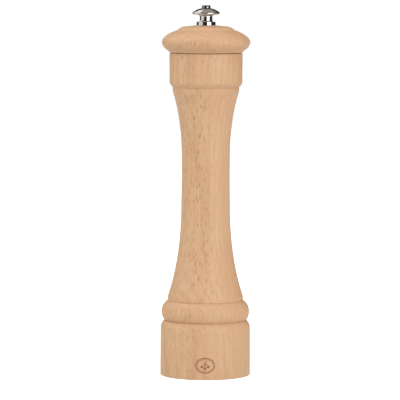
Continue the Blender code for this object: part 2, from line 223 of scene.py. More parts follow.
def shade(obj, sharp_deg=32.0, weighted=True):
    """Smooth shading with sharp edges, where wide faces keep their own normal beside a bevel."""
    obj.data.shade_smooth()
    obj.data.set_sharp_from_angle(angle=math.radians(sharp_deg))
    if weighted:
        step = obj.modifiers.new("normals", "WEIGHTED_NORMAL")
        step.keep_sharp = True
        apply_modifiers(obj)
    return obj


def lathe(name, outline, steps=METAL_STEPS):
    """A solid turned about Z. An outline that starts at r = 0 is closed by flat ends."""
    loop = outline[0][0] > 0
    points = outline if loop else [p for p in outline if p[0] > 0]
    return link(name, mesh_of(name, [([ring(r, z, steps) for r, z in points], loop)]))


def combine(obj, operation, others):
    """Applies a Boolean with each of the others, then deletes them."""
    for other in others:
        step = obj.modifiers.new("combine", "BOOLEAN")
        step.operation = operation
        step.object = other
    apply_modifiers(obj)
    for other in others:
        bpy.data.objects.remove(other, do_unlink=True)


def cut(obj, *cutters):
    combine(obj, "DIFFERENCE", cutters)


def join(obj, *others):
    combine(obj, "UNION", others)


def drill(radius, low_z, high_z, steps, at=(0.0, 0.0)):
    """A round cutter that stands on end."""
    rings = [ring(radius, z, steps) + (at[0], at[1], 0.0) for z in (low_z, high_z)]
    return link("drill", mesh_of("drill", [(rings, False)]))


def box_cutter(size, centre):
    x, y, z = (value / 2 for value in size)
    corners = np.array([(-x, -y, 0), (x, -y, 0), (x, y, 0), (-x, y, 0)]) + centre
    rings = [corners - (0, 0, z), corners + (0, 0, z)]
    return link("box_cutter", mesh_of("box_cutter", [(rings, False)]))


def plate(name, outlines, low_z, high_z, edge=0.15):
    """A flat piece with holes, from outlines in XY, with rims bevelled by edge."""
    work = bmesh.new()
    for outline in outlines:
        verts = [work.verts.new((x * MM, y * MM, low_z * MM)) for x, y in outline]
        for i, vert in enumerate(verts):
            work.edges.new((verts[i - 1], vert))
    bmesh.ops.triangle_fill(work, edges=work.edges[:], use_beauty=True)
    made = bmesh.ops.extrude_face_region(work, geom=work.faces[:])
    raised = [v for v in made["geom"] if isinstance(v, bmesh.types.BMVert)]
    bmesh.ops.translate(work, verts=raised, vec=(0.0, 0.0, (high_z - low_z) * MM))
    bmesh.ops.recalc_face_normals(work, faces=work.faces)
    work.normal_update()
    square_rad, level = 0.01, 1e-7
    rims = [
        e for e in work.edges
        if abs(e.calc_face_angle(0.0) - math.pi / 2) < square_rad
        and abs(e.verts[0].co.z - e.verts[1].co.z) < level
    ]
    bmesh.ops.bevel(work, geom=rims, offset=edge * MM, segments=3, affect="EDGES", profile=0.5)
    mesh = bpy.data.meshes.new(name)
    work.to_mesh(mesh)
    work.free()
    return link(name, mesh)


def disc(radius, at=(0.0, 0.0), steps=64):
    """A round outline in XY."""
    c, s, _ = circle(steps)
    return list(zip(at[0] + radius * c, at[1] + radius * s))


# ---------------------------------------------------------------- materials


class Graph:
    """Adds nodes to a material and returns their output sockets."""

    def __init__(self, name):
        self.material = bpy.data.materials.new(name)
        self.material.use_nodes = True
        self.tree = self.material.node_tree
        self.shader = self.tree.nodes["Principled BSDF"]

    def put(self, socket, value):
        if isinstance(value, bpy.types.NodeSocket):
            self.tree.links.new(value, socket)
        else:
            socket.default_value = value

    def add(self, kind, inputs=(), out=0, **settings):
        node = self.tree.nodes.new(kind)
        for key, value in settings.items():
            setattr(node, key, value)
        for key, value in dict(inputs).items():
            self.put(node.inputs[key], value)
        return node.outputs[out]

    def math(self, operation, a, b=0.0):
        return self.add("ShaderNodeMath", {0: a, 1: b}, operation=operation)

    def vector(self, operation, a, b=(0.0, 0.0, 0.0), out=0):
        return self.add("ShaderNodeVectorMath", {0: a, 1: b}, out, operation=operation)

    def parts(self, vector):
        node = self.tree.nodes.new("ShaderNodeSeparateXYZ")
        self.put(node.inputs[0], vector)
        return node.outputs

    def join(self, x, y, z):
        return self.add("ShaderNodeCombineXYZ", {0: x, 1: y, 2: z})

    def place_mm(self):
        """The object's own coordinates, in mm."""
        place = self.vector("SCALE", self.add("ShaderNodeTexCoord", out="Object"))
        place.node.inputs["Scale"].default_value = 1.0 / MM
        return place

    def noise(self, vector, scale, detail=2.0, rough=0.5, out=0):
        """Noise that has its own scale on each axis. out is 0 for a number and 1 for a colour."""
        place = self.vector("MULTIPLY", vector, scale)
        found = {"Vector": place, "Scale": 1.0, "Detail": detail, "Roughness": rough}
        return self.add("ShaderNodeTexNoise", found, out)

    def shake(self, vector, scale, reach):
        """A shift that wanders from place to place, up to half of reach each way."""
        centred = self.vector("SUBTRACT", self.noise(vector, scale, 1.0, out=1), (0.5, 0.5, 0.5))
        return self.vector("MULTIPLY", centred, reach)

    def blend(self, a, a_share, b, b_share):
        """The sum of two numbers' shares."""
        a, b = self.math("MULTIPLY", a, a_share), self.math("MULTIPLY", b, b_share)
        return self.math("ADD", a, b)

    def ramp(self, value, low, high, to_low=0.0, to_high=1.0):
        """A smooth step from to_low at low to to_high at high."""
        found = {"Value": value, 1: low, 2: high, 3: to_low, 4: to_high}
        return self.add("ShaderNodeMapRange", found, interpolation_type="SMOOTHSTEP")

    def mix(self, factor, a, b):
        """Colour a turning to colour b as the factor goes from 0 to 1."""
        node = self.tree.nodes.new("ShaderNodeMix")
        node.data_type = "RGBA"
        for socket, value in ((node.inputs[0], factor), (node.inputs[6], a), (node.inputs[7], b)):
            self.put(socket, value)
        return node.outputs[2]

    def finish(self, colour, roughness, bump, bump_mm, **constants):
        """Sets the shader's sockets and returns the material. constants are named as sockets."""
        self.put(self.shader.inputs["Base Color"], colour)
        self.put(self.shader.inputs["Roughness"], roughness)
        for key, value in constants.items():
            self.shader.inputs[key.replace("_", " ")].default_value = value
        found = {"Height": bump, "Distance": bump_mm * MM, "Strength": 1.0}
        self.put(self.shader.inputs["Normal"], self.add("ShaderNodeBump", found))
        return self.material


def beech(name, pith_deg, pith_mm, shift):
    """Beech in the round: rings about a far pith, rays that show as flecks, and long fibres."""
    ring_mm, ray_depth_mm, ray_width_mm, ray_height_mm = 2.7, 40.0, 0.68, 5.2
    deep, pale = (0.655, 0.384, 0.204, 1), (0.706, 0.438, 0.243, 1)
    yellow, pink = (0.662, 0.428, 0.212, 1), (0.715, 0.400, 0.246, 1)
    light_streak, late_wood = (0.752, 0.472, 0.268, 1), (0.560, 0.315, 0.160, 1)
    dark_fibre, ray_brown = (0.560, 0.330, 0.168, 1), (0.375, 0.205, 0.092, 1)
    end_grain = (0.420, 0.220, 0.105, 1)

    g = Graph(name)
    straight = g.vector("ADD", g.place_mm(), shift)
    sway = g.shake(straight, (0.03, 0.03, 0.011), (9.0, 9.0, 0.0))
    ripple = g.shake(straight, (0.25, 0.25, 0.05), (0.8, 0.8, 0.0))
    p = g.vector("ADD", g.vector("ADD", straight, sway), ripple)
    angle = math.radians(pith_deg)
    pith = (pith_mm * math.cos(angle), pith_mm * math.sin(angle), 0.0)
    x, y, z = g.parts(g.vector("SUBTRACT", p, pith))
    across = g.vector("LENGTH", g.join(x, y, 0.0), out=1)
    turn = g.math("ARCTAN2", g.math("MULTIPLY", y, -1.0), g.math("MULTIPLY", x, -1.0))
    around = g.math("MULTIPLY", turn, pith_mm)

    # how far the surface faces along the rings' radius, and how far it is end grain
    normal = g.vector("NORMALIZE", g.add("ShaderNodeTexCoord", out="Normal"))
    outward = g.vector("NORMALIZE", g.join(x, y, 0.0))
    flat_sawn = g.math("ABSOLUTE", g.vector("DOT_PRODUCT", normal, outward, out=1))
    up = g.math("ABSOLUTE", g.parts(normal)[2])

    year = g.math("FRACT", g.math("DIVIDE", across, ring_mm))
    late = g.math("MULTIPLY", g.ramp(year, 0.45, 0.95), g.ramp(year, 1.0, 0.95))
    fibre = g.noise(p, (3.2, 3.2, 0.10))
    streak = g.noise(p, (0.65, 0.65, 0.022))
    patch = g.noise(p, (0.055, 0.055, 0.022), 1.0)
    tint = g.noise(p, (0.13, 0.13, 0.05))

    cell = g.join(
        g.math("DIVIDE", across, ray_depth_mm),
        g.math("DIVIDE", around, ray_width_mm),
        g.math("DIVIDE", z, ray_height_mm),
    )
    rays = g.add("ShaderNodeTexVoronoi", {"Vector": cell, "Scale": 1.0})
    chosen = g.ramp(g.parts(rays.node.outputs["Color"])[0], 0.05, 0.55)
    fleck = g.math("MULTIPLY", g.ramp(rays, 0.40, 0.16), chosen)
    fleck = g.math("MULTIPLY", fleck, g.ramp(flat_sawn, 0.55, 0.95))
    fleck = g.math("MULTIPLY", fleck, g.ramp(up, 0.75, 0.35))

    colour = g.mix(g.ramp(patch, 0.32, 0.68), deep, pale)
    for factor, layer in (
        (g.ramp(tint, 0.30, 0.50, 0.55, 0.0), yellow),
        (g.ramp(tint, 0.50, 0.70, 0.0, 0.55), pink),
        (g.ramp(streak, 0.32, 0.68, 0.0, 0.68), light_streak),
        (g.math("MULTIPLY", late, 0.26), late_wood),
        (g.ramp(fibre, 0.42, 0.72, 0.0, 0.42), dark_fibre),
        (g.math("MULTIPLY", fleck, 0.75), ray_brown),
        (g.ramp(up, 0.55, 1.0, 0.0, 0.10), end_grain),
    ):
        colour = g.mix(factor, colour, layer)
    roughness = g.ramp(fibre, 0.3, 0.7, 0.40, 0.50)
    relief = g.blend(fibre, -0.6, fleck, -0.6)
    return g.finish(colour, roughness, relief, 0.03, Specular_IOR_Level=0.5)


def metal(name, dark, light, rough, lines=6.0, bump_mm=0.002, turned=True):
    """Metal with fine tool marks, which run round Z on a turned piece, and a faint uneven tone."""
    g = Graph(name)
    p = g.place_mm()
    if turned:
        x, y, z = g.parts(p)
        r = g.vector("LENGTH", g.join(x, y, 0.0), out=1)
        marks = g.noise(g.join(r, z, 0.0), (lines, lines, lines), 3.0, 0.6)
    else:
        marks = g.noise(p, (0.35, lines, lines), 3.0, 0.6)
    cloud = g.noise(p, (0.22, 0.22, 0.22), 3.0)
    grime = g.noise(p, (1.1, 1.1, 1.1), 4.0, 0.65)
    tone = g.ramp(g.blend(cloud, 0.55, marks, 0.45), 0.32, 0.68)
    colour = g.mix(tone, (*dark, 1), (*light, 1))
    roughness = g.ramp(g.blend(grime, 0.6, marks, 0.4), 0.35, 0.68, *rough)
    return g.finish(colour, roughness, marks, bump_mm, Metallic=1.0)


def scorch(name):
    """Wood burned brown by a hot stamp, darker in places."""
    g = Graph(name)
    p = g.place_mm()
    fibre = g.noise(p, (3.2, 3.2, 0.5), 3.0)
    heat = g.noise(p, (0.9, 0.9, 0.9))
    colour = g.mix(g.ramp(heat, 0.3, 0.7), (0.250, 0.105, 0.045, 1), (0.36, 0.170, 0.080, 1))
    colour = g.mix(g.ramp(fibre, 0.45, 0.75, 0.0, 0.5), colour, (0.150, 0.060, 0.025, 1))
    return g.finish(colour, g.ramp(fibre, 0.3, 0.7, 0.6, 0.75), fibre, 0.02)


BODY_BEECH = beech("beech_body", 55.0, 104.0, (3.0, -2.0, 11.0))
HEAD_BEECH = beech("beech_head", 48.0, 96.0, (-6.0, 9.0, 420.0))
NICKEL = metal("nickel", (0.70, 0.68, 0.64), (0.80, 0.78, 0.75), (0.045, 0.10), 9.0, 0.0006)
BUTTON_STEEL = metal("button_steel", (0.20, 0.20, 0.20), (0.36, 0.36, 0.35), (0.12, 0.26), 9.0)
ZINC_TURNED = metal("zinc_turned", (0.55, 0.56, 0.57), (0.70, 0.71, 0.72), (0.22, 0.38), 7.0)
ZINC_SHEET = metal(
    "zinc_sheet", (0.53, 0.54, 0.56), (0.70, 0.71, 0.73), (0.24, 0.42), 5.0, turned=False
)
HARD_STEEL = metal("hard_steel", (0.10, 0.10, 0.105), (0.24, 0.24, 0.25), (0.34, 0.52), 5.0, 0.004)
SPRING_STEEL = metal("spring_steel", (0.32, 0.32, 0.33), (0.48, 0.48, 0.50), (0.24, 0.36), 8.0)
SCORCH = scorch("scorch")


def dress(obj, material, body, slot, *nodes):
    """Gives a piece its material, its body and the CAD nodes it stands for. slot is not used."""
    obj.data.materials.clear()
    obj.data.materials.append(material)
    if body:
        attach(obj, body)
    if nodes:
        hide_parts(*nodes)


# ---------------------------------------------------------------- wooden body and head


def body_outline():
    rim_z = span("body")[1] + SEAM_LIFT
    collar = [(21.68, rim_z, 0.55), (21.55, 173.9, 0.9), (20.1, 171.9, 0.15)]
    crease = [(19.55, 171.6, 0.06), (19.75, 171.25)]
    waist = smooth(
        [(19.76, 170.8), (19.5, 168.6), (18.2, 164.0), (16.54, 156.4), (15.27, 147.4),
         (14.5, 136.4), (14.3, 122.4), (14.34, 114.4), (14.45, 106.4), (14.7, 92.4), (15.54, 80.4),
         (16.83, 70.4), (18.5, 61.4), (20.5, 53.4), (22.1, 48.2)],
        10,
    )
    hollow = [(22.45, 47.0), (22.45, 45.05), (22.15, 44.75, 0.1)]
    bead = smooth(
        [(22.5, 44.7), (23.4, 44.0), (24.45, 42.95), (25.25, 41.75), (25.82, 40.3),
         (26.12, 38.8), (26.12, 37.5), (25.98, 36.3), (25.68, 35.2), (25.25, 34.2), (24.8, 33.55)],
        5,
    )
    groove = [(23.95, 33.35, 0.1), (24.35, 33.08)]
    shoulder = smooth([(24.5, 32.9), (25.2, 32.1), (25.9, 31.0), (26.5, 29.7), (26.7, 28.2)], 5)
    foot = [(FOOT_R, 0.0, 0.6)]
    recess = [(19.5, 0.0, 0.35), (19.5, 9.5, 0.2), (13.5, 9.5, 0.1), (13.5, 24.3),
              (12.5, 24.3, 0.1)]
    chamber = [(12.5, 35.5, 0.2), (10.5, 37.5, 0.4), (10.5, 173.5, 0.4), (14.0, 175.5, 0.3)]
    socket = [(14.0, rim_z - 0.5, 0.2), (14.5, rim_z, 0.2)]
    return rounded([*collar, *crease, *waist, *hollow, *bead, *groove, *shoulder, *foot,
                    *recess, *chamber, *socket])


def make_body():
    body = lathe("body_wood", body_outline(), TURN_STEPS)
    holes = places(STRAP_SCREWS + PLATE_SCREWS)
    cut(body, *(drill(SCREW_HOLE_R, 8.0, 19.5, 24, at) for at in holes))
    shade(body, 40.0, weighted=False)
    dress(body, BODY_BEECH, "base", "beech", "body")


def head_outline():
    seat_z = 191.5 + SEAM_LIFT
    low_z, high_z = span("head")
    crown = arc((0.0, high_z + 0.24 - 71.0), 71.0, 84.8, 80.6, 8)
    crown_edge = smooth(
        [(12.5, 207.56), (13.7, 207.32), (14.8, 206.95), (15.7, 206.42), (16.35, 205.82),
         (16.8, 205.46)],
        4,
    )
    shoulder = smooth(
        [(17.3, 205.26), (18.3, 204.94), (19.6, 204.42), (21.2, 203.66), (22.7, 202.74),
         (24.0, 201.8), (25.1, 200.75), (25.85, 199.6), (26.16, 198.4), (26.05, 197.3),
         (25.65, 196.3), (25.0, 195.3), (24.1, 194.4), (23.1, 193.6)],
        5,
    )
    seat = [(21.85, seat_z + 0.45), (21.55, seat_z, 0.15)]
    tenon = [(13.6, seat_z, 0.2), (13.6, low_z, 0.8)]
    bore = [(4.0, low_z, 0.3), (4.0, 207.3), (6.2, 207.3), (6.2, high_z, 0.1)]
    return rounded([*crown, *crown_edge, *shoulder, *seat, *tenon, *bore])


def make_head():
    head = lathe("head_wood", head_outline(), TURN_STEPS)
    low_z, holes = span("head")[0], places(DRIVE_SCREWS)
    cut(head, *(drill(DRIVE_HOLE_R, low_z - 1.0, low_z + 9.0, 24, at) for at in holes))
    shade(head, 40.0, weighted=False)
    dress(head, HEAD_BEECH, "head", "beech", "head")


# ---------------------------------------------------------------- stamped mark


MARK_MIDDLE_Z = 8.7
MARK_DEPTHS = (0.012, -0.06)  # its face stands just proud of the wood and its back lies in it


def on_base(u, v, depth):
    """A point in mm, u to the right and v up on the front of the base, depth above its surface."""
    radius = FOOT_R - FOOT_TAPER * v + depth
    angle = u / radius
    return (radius * math.sin(angle), -radius * math.cos(angle), v)


def stroke(points, width, loop=False):
    """A shell that follows the points as a flat band on the base."""
    count = len(points)
    face, back = MARK_DEPTHS
    rings = []
    for i, (u, v) in enumerate(points):
        before = points[i - 1] if loop or i else points[i]
        after = points[(i + 1) % count] if loop or i + 1 < count else points[i]
        along = Vector((after[0] - before[0], after[1] - before[1])).normalized()
        du, dv = -along.y * width / 2, along.x * width / 2
        left, right = (u + du, v + dv), (u - du, v - dv)
        rings.append([on_base(*left, face), on_base(*right, face),
                      on_base(*right, back), on_base(*left, back)])
    return rings, loop


def dot(u, v, radius):
    """A shell that is a round spot on the base."""
    points = disc(radius, (u, v), 20)
    return [[on_base(a, b, depth) for a, b in points] for depth in MARK_DEPTHS], False


def line(start, end, shares):
    """Points at shares of the way from start to end."""
    du, dv = end[0] - start[0], end[1] - start[1]
    return [(start[0] + du * t, start[1] + dv * t) for t in shares]


def make_mark():
    """A plain oval ring round three peppercorns on their stalks."""
    turns = np.linspace(0.0, 2 * math.pi, 64, endpoint=False)
    shells = []
    for half_u, half_v, width in ((5.55, 4.45, 0.55), (4.75, 3.65, 0.3)):
        oval = [(half_u * math.cos(t), MARK_MIDDLE_Z + half_v * math.sin(t)) for t in turns]
        shells.append(stroke(oval, width, True))
    fork = (0.0, 9.9)
    for berry in ((-1.9, 8.0), (0.0, 7.0), (1.9, 8.0)):
        shells += [dot(*berry, 0.85), stroke(line(berry, fork, (0.4, 0.7, 1.0)), 0.36)]
    shells.append(stroke(smooth([(0.0, 9.8), (0.1, 10.5), (0.5, 11.3)], 4), 0.42))
    mark = link("stamped_mark", mesh_of("stamped_mark", shells))
    shade(mark, weighted=False)
    dress(mark, SCORCH, "base", "beech")


# ---------------------------------------------------------------- knob


def make_knob():
    """The knob, turned in one piece with a darker tip, and the washer under it."""
    top, button_foot_z = span("adjusting_knob")[1], 218.4
    button = [(2.35, top, 0.2), (2.6, top - 0.5), (2.6, button_foot_z + 0.05, 0.1)]
    saucer = smooth(
        [(2.9, 218.35), (4.0, 218.1), (5.2, 217.66), (6.2, 217.14), (7.0, 216.64), (7.65, 216.2),
         (8.04, 215.75), (8.15, 215.3), (8.06, 214.92), (7.75, 214.68), (7.2, 214.54),
         (6.4, 214.48), (5.4, 214.4)],
        5,
    )
    bowl = smooth([(4.95, 214.32), (4.7, 214.15), (4.5, 213.95), (4.25, 213.78)], 4)
    neck = smooth([(3.72, 213.72), (3.7, 213.2), (3.72, 212.2), (3.78, 211.2), (3.95, 210.6)], 5)
    flange = [(4.1, 210.35, 0.1), (5.55, 210.35, 0.25), (5.68, 208.3, 0.1)]
    bore = [(2.75, 208.3, 0.1), (2.75, 216.6, 0.1)]
    outline = rounded([(0.0, top), *button, *saucer, *bowl, *neck, *flange, *bore, (0.0, 216.6)])
    knob = shade(lathe("adjusting_knob_turned", outline, TURN_STEPS))
    dress(knob, NICKEL, "knob", "nickel", "adjusting_knob")
    knob.data.materials.append(BUTTON_STEEL)
    for face in knob.data.polygons:
        face.material_index = int(face.center.z > button_foot_z * MM)

    low_z, high_z = span("knob_washer")
    outline = [(5.9, high_z, 0.15), (5.9, low_z, 0.1), (4.0, low_z, 0.1), (4.0, high_z, 0.15)]
    washer = shade(lathe("knob_washer_turned", rounded(outline, 3)))
    dress(washer, NICKEL, "head", "nickel", "knob_washer")


# ---------------------------------------------------------------- screws and plates


def thread(minor_r, depth, pitch, low_z, high_z, steps):
    """Rings of a screw thread. It runs out to the minor radius at both ends."""
    rings = []
    for z in np.arange(low_z, high_z, pitch / 8):
        ends = min(1.0, (z - low_z) / pitch, (high_z - z) / pitch)

        def radius(angles, z=z, ends=ends):
            phase = np.mod(z / pitch - angles / (2 * math.pi), 1.0)
            return minor_r + depth * ends * np.clip(1.5 - 3.0 * np.abs(phase - 0.5), 0.0, 1.0)

        rings.append(ring(radius, z, steps))
    return rings


def make_screw(node, body, head_r, head_t, shank_r):
    """A slotted pan-head wood screw that points up."""
    low_z, high_z = span(node)
    at = places([node])[0]
    seat_z = low_z + head_t
    steps, pitch, plain = 48, 1.1, 1.2
    point = ((0.62, 0.8), (0.3, 0.25), (0.06, 0.0))
    flat = [(0.0, low_z), (head_r * 0.62, low_z)]
    head = rounded([*flat, (head_r, low_z + 0.45, 0.4), (head_r, seat_z, 0.1)])
    rings = [ring(r, z, steps) for r, z in head if r > 0]
    rings.append(ring(shank_r, seat_z, steps))
    rings += thread(shank_r * 0.8, shank_r * 0.2, pitch, seat_z + plain, high_z - plain, steps)
    rings += [ring(shank_r * share, high_z - gap, steps) for share, gap in point]
    rings = [points + (at[0], at[1], 0.0) for points in rings]
    screw = link(f"{node}_turned", mesh_of(node, [(rings, False)]))
    cut(screw, box_cutter((head_r * 3, 0.7, 1.4), (at[0], at[1], low_z)))
    shade(screw, 35.0)
    dress(screw, ZINC_SHEET, body, "zinc", node)


def make_screws():
    for node in STRAP_SCREWS + PLATE_SCREWS:
        make_screw(node, "base", 2.5, 1.5, 1.25)
    for node in DRIVE_SCREWS:
        make_screw(node, "head", 2.3, 1.2, 1.1)


def square_hole():
    """The square hole's outline in XY, with its corners just eased."""
    side, corner = SQUARE_HOLE[0], 0.35
    points = ring(square(side, math.hypot(side / 2, side / 2 - corner)), 0.0, 64)
    return [(x, y) for x, y, _ in points]


def screw_holes(radius, nodes):
    return [disc(radius, at, 24) for at in places(nodes)]


def make_plates():
    """The drive plate, the mounting plate, and the strap with its bearing collar."""
    low_z, high_z = span("drive_plate")
    outlines = [disc(11.5, steps=96), square_hole(), *screw_holes(DRIVE_HOLE_R, DRIVE_SCREWS)]
    drive = plate("drive_plate_cut", outlines, low_z, high_z)
    dress(shade(drive), ZINC_SHEET, "head", "zinc", "drive_plate")

    low_z, high_z = span("mounting_plate")
    outlines = [disc(19.0, steps=144), disc(12.0, steps=96)]
    outlines += screw_holes(SCREW_HOLE_R, STRAP_SCREWS + PLATE_SCREWS)
    mounting = plate("mounting_plate_cut", outlines, low_z, high_z)
    dress(shade(mounting), ZINC_SHEET, "base", "zinc", "mounting_plate")

    low_z, high_z = span("retaining_strap")
    x, y = span("retaining_strap", 0)[1], span("retaining_strap", 1)[1]
    corner_r, thick, bearing_r, overlap_z = 3.0, 1.2, 2.5, high_z - 0.9
    corners = [(x, y, corner_r), (-x, y, corner_r), (-x, -y, corner_r), (x, -y, corner_r)]
    outlines = [rounded(corners, 8), disc(bearing_r, steps=48)]
    outlines += screw_holes(SCREW_HOLE_R, STRAP_SCREWS)
    strap = plate("retaining_strap_cut", outlines, high_z - thick, high_z)
    collar = [(3.7, overlap_z), (3.7, low_z, 0.3), (bearing_r, low_z, 0.15), (bearing_r, overlap_z)]
    join(strap, lathe("strap_collar", rounded(collar, 4), 64))
    dress(shade(strap), ZINC_SHEET, "base", "zinc", "retaining_strap")


# ---------------------------------------------------------------- grinder


def tooth(tip_r, depth, teeth, twist_deg, outward=True):
    """Radius of a saw-toothed section: each tooth falls away slowly and comes back at once."""
    slow = 0.82

    def radius(angles):
        share = np.mod((angles - math.radians(twist_deg)) * teeth / (2 * math.pi), 1.0)
        fall = np.where(share < slow, share / slow, (1.0 - share) / (1.0 - slow))
        fall = fall * fall * (3 - 2 * fall) * 0.4 + fall * 0.6
        return tip_r - depth * fall if outward else tip_r + depth * fall
    return radius


def between(sections, z):
    """The values of a list of (z, ...) sections at one height."""
    heights, *columns = zip(*sections)
    return [float(np.interp(z, heights, column)) for column in columns]


def make_grinder():
    """The toothed cone, and the toothed ring round it."""
    low_z, high_z = span("grinder_rotor")
    sections = [
        (low_z, 10.67, 0.6, 0.0), (14.0, 9.95, 0.9, 12.0), (16.8, 8.8, 1.4, 22.0),
        (19.5, 7.0, 1.3, 34.0), (21.5, 5.5, 0.8, 44.0), (high_z, 4.9, 0.2, 50.0),
    ]
    steps = 240
    rings = []
    for z in np.linspace(low_z, high_z, 32):
        tip_r, depth, twist = between(sections, z)
        rings.append(ring(tooth(tip_r, depth, 12, twist), z, steps))
    hole = square(*SQUARE_HOLE)
    rings.insert(0, ring(9.6, low_z, steps))
    rings += [ring(4.4, high_z, steps), ring(hole, high_z, steps), ring(hole, low_z, steps)]
    rotor = link("grinder_rotor_cut", mesh_of("grinder_rotor_cut", [(rings, True)]))
    dress(shade(rotor, 30.0), HARD_STEEL, "spindle", "hard_steel", "grinder_rotor")

    low_z, high_z = span("grinder_stator")
    outer_r, steps = span("grinder_stator", 0)[1], 256
    rings = [ring(outer_r, z, steps) for z in (low_z + 0.2, high_z - 0.3)]
    rings += [ring(outer_r - 0.3, high_z, steps)]
    throat_z, throat_r, mouth_r, slope = 19.0, 9.2, 11.0, 0.22
    for z in np.linspace(high_z, low_z, 30):
        if z > throat_z:
            tip_r = throat_r + (mouth_r - throat_r) * (z - throat_z) / (high_z - throat_z)
        else:
            tip_r = throat_r + slope * (throat_z - z)
        section = tooth(tip_r, 0.8, 16, -2.0 * (z - low_z), outward=False)
        rings.append(ring(section, z, steps))
    rings.append(ring(outer_r - 0.2, low_z, steps))
    stator = link("grinder_stator_cut", mesh_of("grinder_stator_cut", [(rings, True)]))
    dress(shade(stator, 30.0), HARD_STEEL, "base", "hard_steel", "grinder_stator")


def make_spindle():
    """The square bar, with a round pin at its foot and a threaded top end."""
    low_z, high_z = span("spindle")
    bar_z, bar_top_z, steps = 9.5, 203.0, 96
    bar = square(5.0, 3.3)
    sections = [
        (1.8, low_z), (2.2, low_z + 0.4), (2.2, 8.45), (2.2, bar_z - 0.12), (2.25, bar_z - 0.1),
        (square(4.6, 2.9), bar_z), (bar, bar_z + 0.3),
        *((bar, z) for z in np.linspace(bar_z + 4.0, bar_top_z - 1.2, 24)),
        (square(5.0, 2.9), bar_top_z - 0.3), (square(4.6, 2.5), bar_top_z),
        (1.95, bar_top_z + 0.05), (1.95, bar_top_z + 0.7),
    ]
    rings = [ring(radius, z, steps) for radius, z in sections]
    rings += thread(1.95, 0.45, 0.8, bar_top_z + 0.75, high_z - 0.3, steps)
    rings.append(ring(1.7, high_z, steps))
    spindle = link("spindle_bar", mesh_of("spindle_bar", [(rings, False)]))
    dress(shade(spindle, 30.0), ZINC_TURNED, "spindle", "zinc", "spindle")


def make_washer(name, body, radius):
    """A washer with a square hole and bevelled rims."""
    low_z, high_z = span(name)
    edge, (side, corner_r) = 0.12, SQUARE_HOLE
    hole, hole_edge = square(side, corner_r), square(side + 2 * edge, corner_r + edge)
    sections = [
        (radius - edge, low_z), (radius, low_z + edge), (radius, high_z - edge),
        (radius - edge, high_z), (hole_edge, high_z), (hole, high_z - edge),
        (hole, low_z + edge), (hole_edge, low_z),
    ]
    rings = [ring(r, z, METAL_STEPS) for r, z in sections]
    washer = link(f"{name}_cut", mesh_of(name, [(rings, True)]))
    dress(shade(washer), ZINC_TURNED, body, "zinc", name)


def make_clip():
    low_z, high_z = span("spindle_clip")
    outline = arc((0, 0), 4.4, 35, 325, 48) + arc((0, 0), 2.5, 325, 35, 36)
    clip = plate("spindle_clip_cut", [outline], low_z, high_z, 0.08)
    dress(shade(clip), SPRING_STEEL, "spindle", "spring_steel", "spindle_clip")


def make_spring():
    """The compression spring, with closed end turns, as a tube along its own helix."""
    low_z, high_z = span("grinder_spring")
    wire_r, coil_r, turns, per_turn = 0.4, 4.45, 5.5, 40
    closed, rise, kept, reach = 0.9, 0.88, 0.3, 6
    first, last = low_z + wire_r, high_z - wire_r
    knots = [0.0, closed, turns - closed, turns]
    levels = [first, first + rise, last - rise, last]
    turn = np.linspace(0.0, turns, int(turns * per_turn) + 1)
    z = np.interp(turn, knots, levels)
    window = np.ones(2 * reach + 1) / (2 * reach + 1)
    soft = np.convolve(np.pad(z, reach, mode="edge"), window, mode="valid")
    z = np.where((turn < kept) | (turn > turns - kept), z, soft)
    wire = [(wire_r * a, wire_r * b) for a, b in zip(*circle(16)[:2])]
    up = Vector((0.0, 0.0, 1.0))
    rings = []
    for t, height in zip(turn, z):
        angle = 2 * math.pi * t
        out = Vector((math.cos(angle), math.sin(angle), 0.0))
        centre = out * coil_r + up * height
        rings.append([tuple(centre + out * a + up * b) for a, b in wire])
    spring = link("grinder_spring_wire", mesh_of("grinder_spring_wire", [(rings, False)]))
    shade(spring, weighted=False)
    dress(spring, SPRING_STEEL, None, "spring_steel", "grinder_spring")
    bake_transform(spring)


def make_bridge():
    """The bent strip over the grinder, with the hub that guides the spindle."""
    low_z, high_z = span("spindle_bridge")
    top_z, thick, w, edge = 34.2, 1.0, 2.8, 0.15
    half, bend_r = 11.8, 2.0
    bend = (half - bend_r, top_z - bend_r)
    outer = [(half, low_z), *arc(bend, bend_r, 0, 90, 8)]
    inner = [(half - thick, low_z), *arc(bend, bend_r - thick, 0, 90, 8)]
    outer += [(-x, z) for x, z in reversed(outer)]
    inner += [(-x, z) for x, z in reversed(inner)]
    rings = []
    for (ox, oz), (ix, iz) in zip(outer, inner):
        out = (Vector((ox, oz)) - Vector((ix, iz))).normalized() * edge
        rings.append([
            (ox - out.x, w, oz - out.y), (ox, w - edge, oz),
            (ox, edge - w, oz), (ox - out.x, -w, oz - out.y),
            (ix + out.x, -w, iz + out.y), (ix, edge - w, iz),
            (ix, w - edge, iz), (ix + out.x, w, iz + out.y),
        ])
    bridge = link("spindle_bridge_cut", mesh_of("spindle_bridge_cut", [(rings, False)]))
    hub_outline = [(5.4, top_z - thick + 0.05), (5.4, high_z - 0.1), (5.3, high_z)]
    hub = link("hub", mesh_of("hub", [([ring(r, z, 96) for r, z in hub_outline], False)]))
    join(bridge, hub)
    cut(bridge, drill(3.84, top_z - 4.0, top_z + 4.0, 64))
    dress(shade(bridge), ZINC_SHEET, "base", "zinc", "spindle_bridge")


# ---------------------------------------------------------------- floor, lights and background


